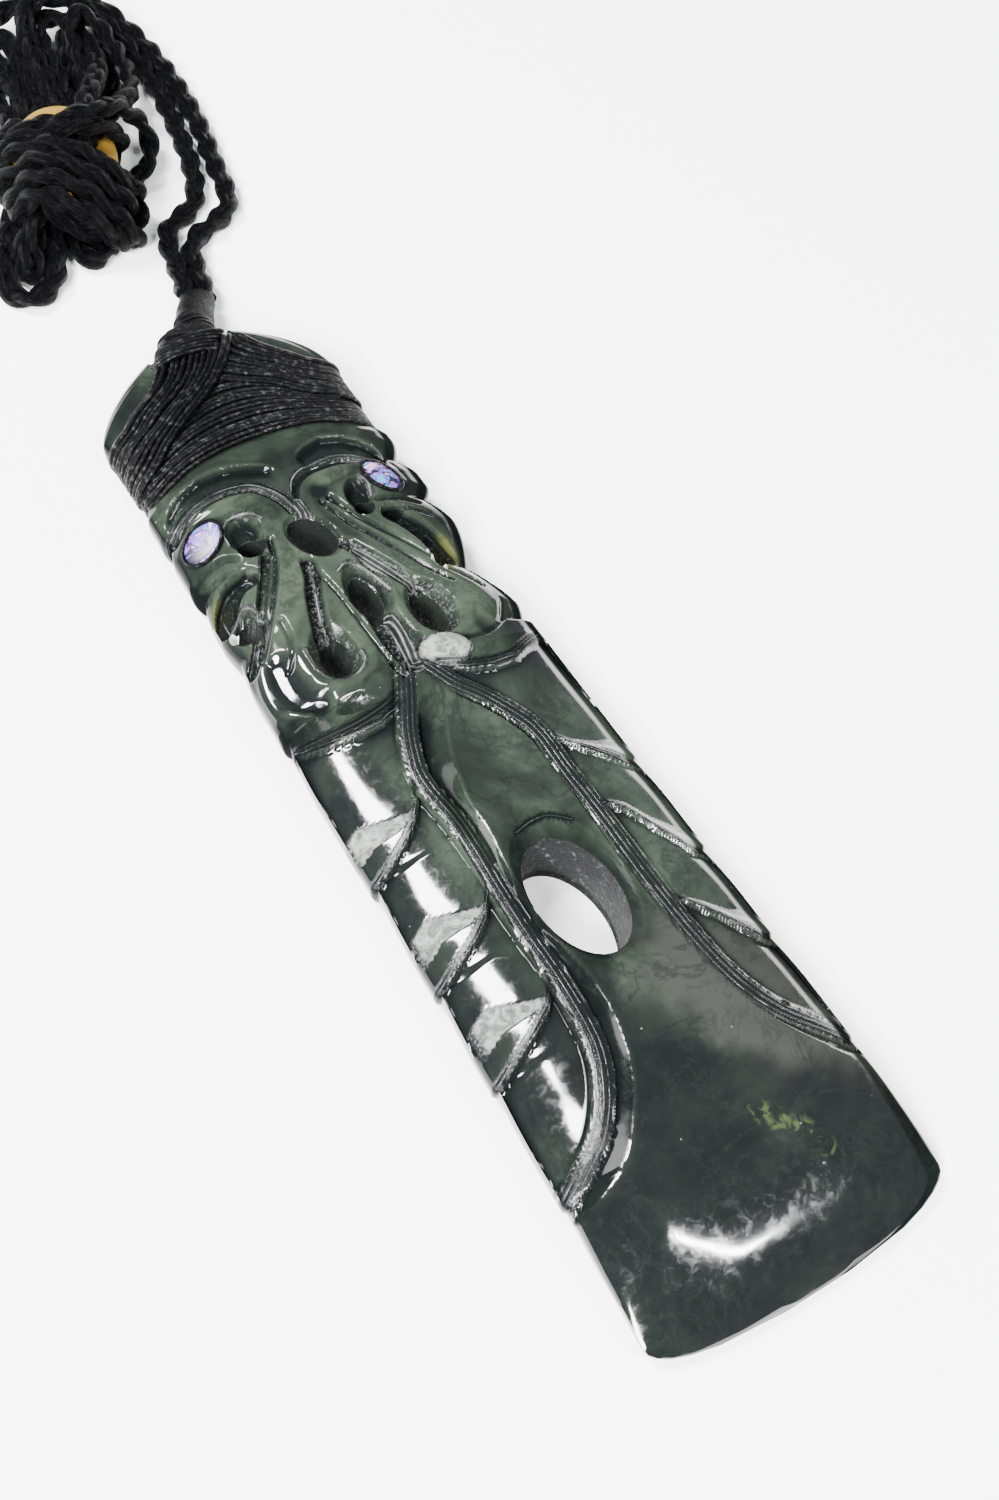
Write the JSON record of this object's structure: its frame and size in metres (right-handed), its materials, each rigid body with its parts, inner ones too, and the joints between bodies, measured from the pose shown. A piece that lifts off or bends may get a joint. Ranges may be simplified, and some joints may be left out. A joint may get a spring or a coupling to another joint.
{
  "type": "double manaia toki pendant",
  "caption": "Carved dark green jade adze-shaped pendant with manaia heads, shell eyes and thread lashing, on a gathered black plaited cord with a bone toggle.",
  "frame": {"origin": "centre of the resting footprint of the carved slab, on the surface it lies on", "axes": "+Y from the cutting edge to the neck cord, +Z out of the carved face"},
  "size_m": [0.0511, 0.2363, 0.0091],
  "materials": {
    "jade": "polished",
    "shell": "gloss",
    "thread": "waxed",
    "cord": "matte",
    "bone": "satin"
  },
  "bodies": {
    "root": {"toki_blade": "jade", "paua_eye_left": "shell", "paua_eye_right": "shell", "lashing": "thread", "neck_binding": "thread", "cord_left": "cord", "cord_right": "cord", "cord_hank": "cord", "bone_toggle": "bone"}
  },
  "joints": []
}
